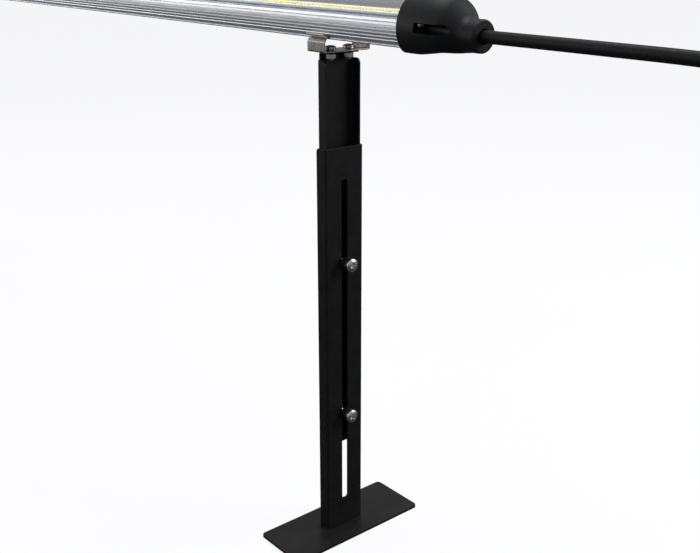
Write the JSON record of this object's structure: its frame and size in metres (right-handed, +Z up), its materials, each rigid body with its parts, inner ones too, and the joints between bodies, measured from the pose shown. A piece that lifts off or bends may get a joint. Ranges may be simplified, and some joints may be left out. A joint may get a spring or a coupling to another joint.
{
  "type": "light bar on height-adjustable stands",
  "caption": "Long tubular LED light bar with a ribbed aluminium housing and clear cover, clipped on slotted height-adjustable foot stands, with a power cable and plug.",
  "frame": {"origin": "on the floor, under the middle of the light bar", "axes": "+X along the bar towards its cable end, +Y along the foot plates, +Z up"},
  "size_m": [1.7754, 0.2186, 0.507],
  "materials": {
    "black_powder_coat": "satin black powder coat",
    "stainless": "brushed",
    "aluminium": "anodised, extruded",
    "clear_cover": "clear polycarbonate",
    "board_white": "white solder mask",
    "led_phosphor": "yellow phosphor, unlit",
    "black_plastic": "satin moulding",
    "black_rubber": "satin",
    "grey_rubber": "matt",
    "driver_case": "white moulding",
    "brass": "plain"
  },
  "bodies": {
    "near_foot": {"near_foot_plate": "black_powder_coat", "near_outer_channel": "black_powder_coat", "cable_coil": "black_rubber", "cable_tail": "black_rubber", "plug_body": "black_rubber", "left_plug_blade": "brass", "right_plug_blade": "brass", "plug_ground_pin": "brass"},
    "light": {"blind_plug": "black_rubber", "board_lead": "black_rubber", "cable": "black_rubber", "cable_seal": "black_rubber", "cover": "clear_cover", "driver": "driver_case", "far_clip": "stainless", "far_end_cap": "black_plastic", "far_front_cap_screw": "stainless", "far_front_clip_nut": "stainless", "far_front_clip_screw": "stainless", "far_gasket": "grey_rubber", "far_inner_channel": "black_powder_coat", "far_lower_bush": "black_plastic", "far_lower_clamp_screw": "stainless", "far_lower_nut": "stainless", "far_rear_cap_screw": "stainless", "far_rear_clip_nut": "stainless", "far_rear_clip_screw": "stainless", "far_upper_bush": "black_plastic", "far_upper_clamp_screw": "stainless", "far_upper_nut": "stainless", "front_led_row": "led_phosphor", "housing": "aluminium", "input_lead": "black_rubber", "led_board": "board_white", "near_clip": "stainless", "near_end_cap": "black_plastic", "near_front_cap_screw": "stainless", "near_front_clip_nut": "stainless", "near_front_clip_screw": "stainless", "near_gasket": "grey_rubber", "near_inner_channel": "black_powder_coat", "near_lower_bush": "black_plastic", "near_lower_clamp_screw": "stainless", "near_lower_nut": "stainless", "near_rear_cap_screw": "stainless", "near_rear_clip_nut": "stainless", "near_rear_clip_screw": "stainless", "near_upper_bush": "black_plastic", "near_upper_clamp_screw": "stainless", "near_upper_nut": "stainless", "rear_led_row": "led_phosphor", "terminal_block": "driver_case"},
    "far_foot": {"far_foot_plate": "black_powder_coat", "far_outer_channel": "black_powder_coat"}
  },
  "joints": [
    {"name": "height", "type": "slide", "parent": "near_foot", "child": "light", "axis": [0, 0, 1], "range_m": [-0.08, 0.072], "deforming": ["cable"]},
    {"name": "far_leg", "type": "slide", "parent": "light", "child": "far_foot", "axis": [0, 0, 1], "range_m": [-0.072, 0.08]}
  ],
  "couplings": [
    {"joint": "far_leg", "follows": "height", "ratio": -1}
  ]
}
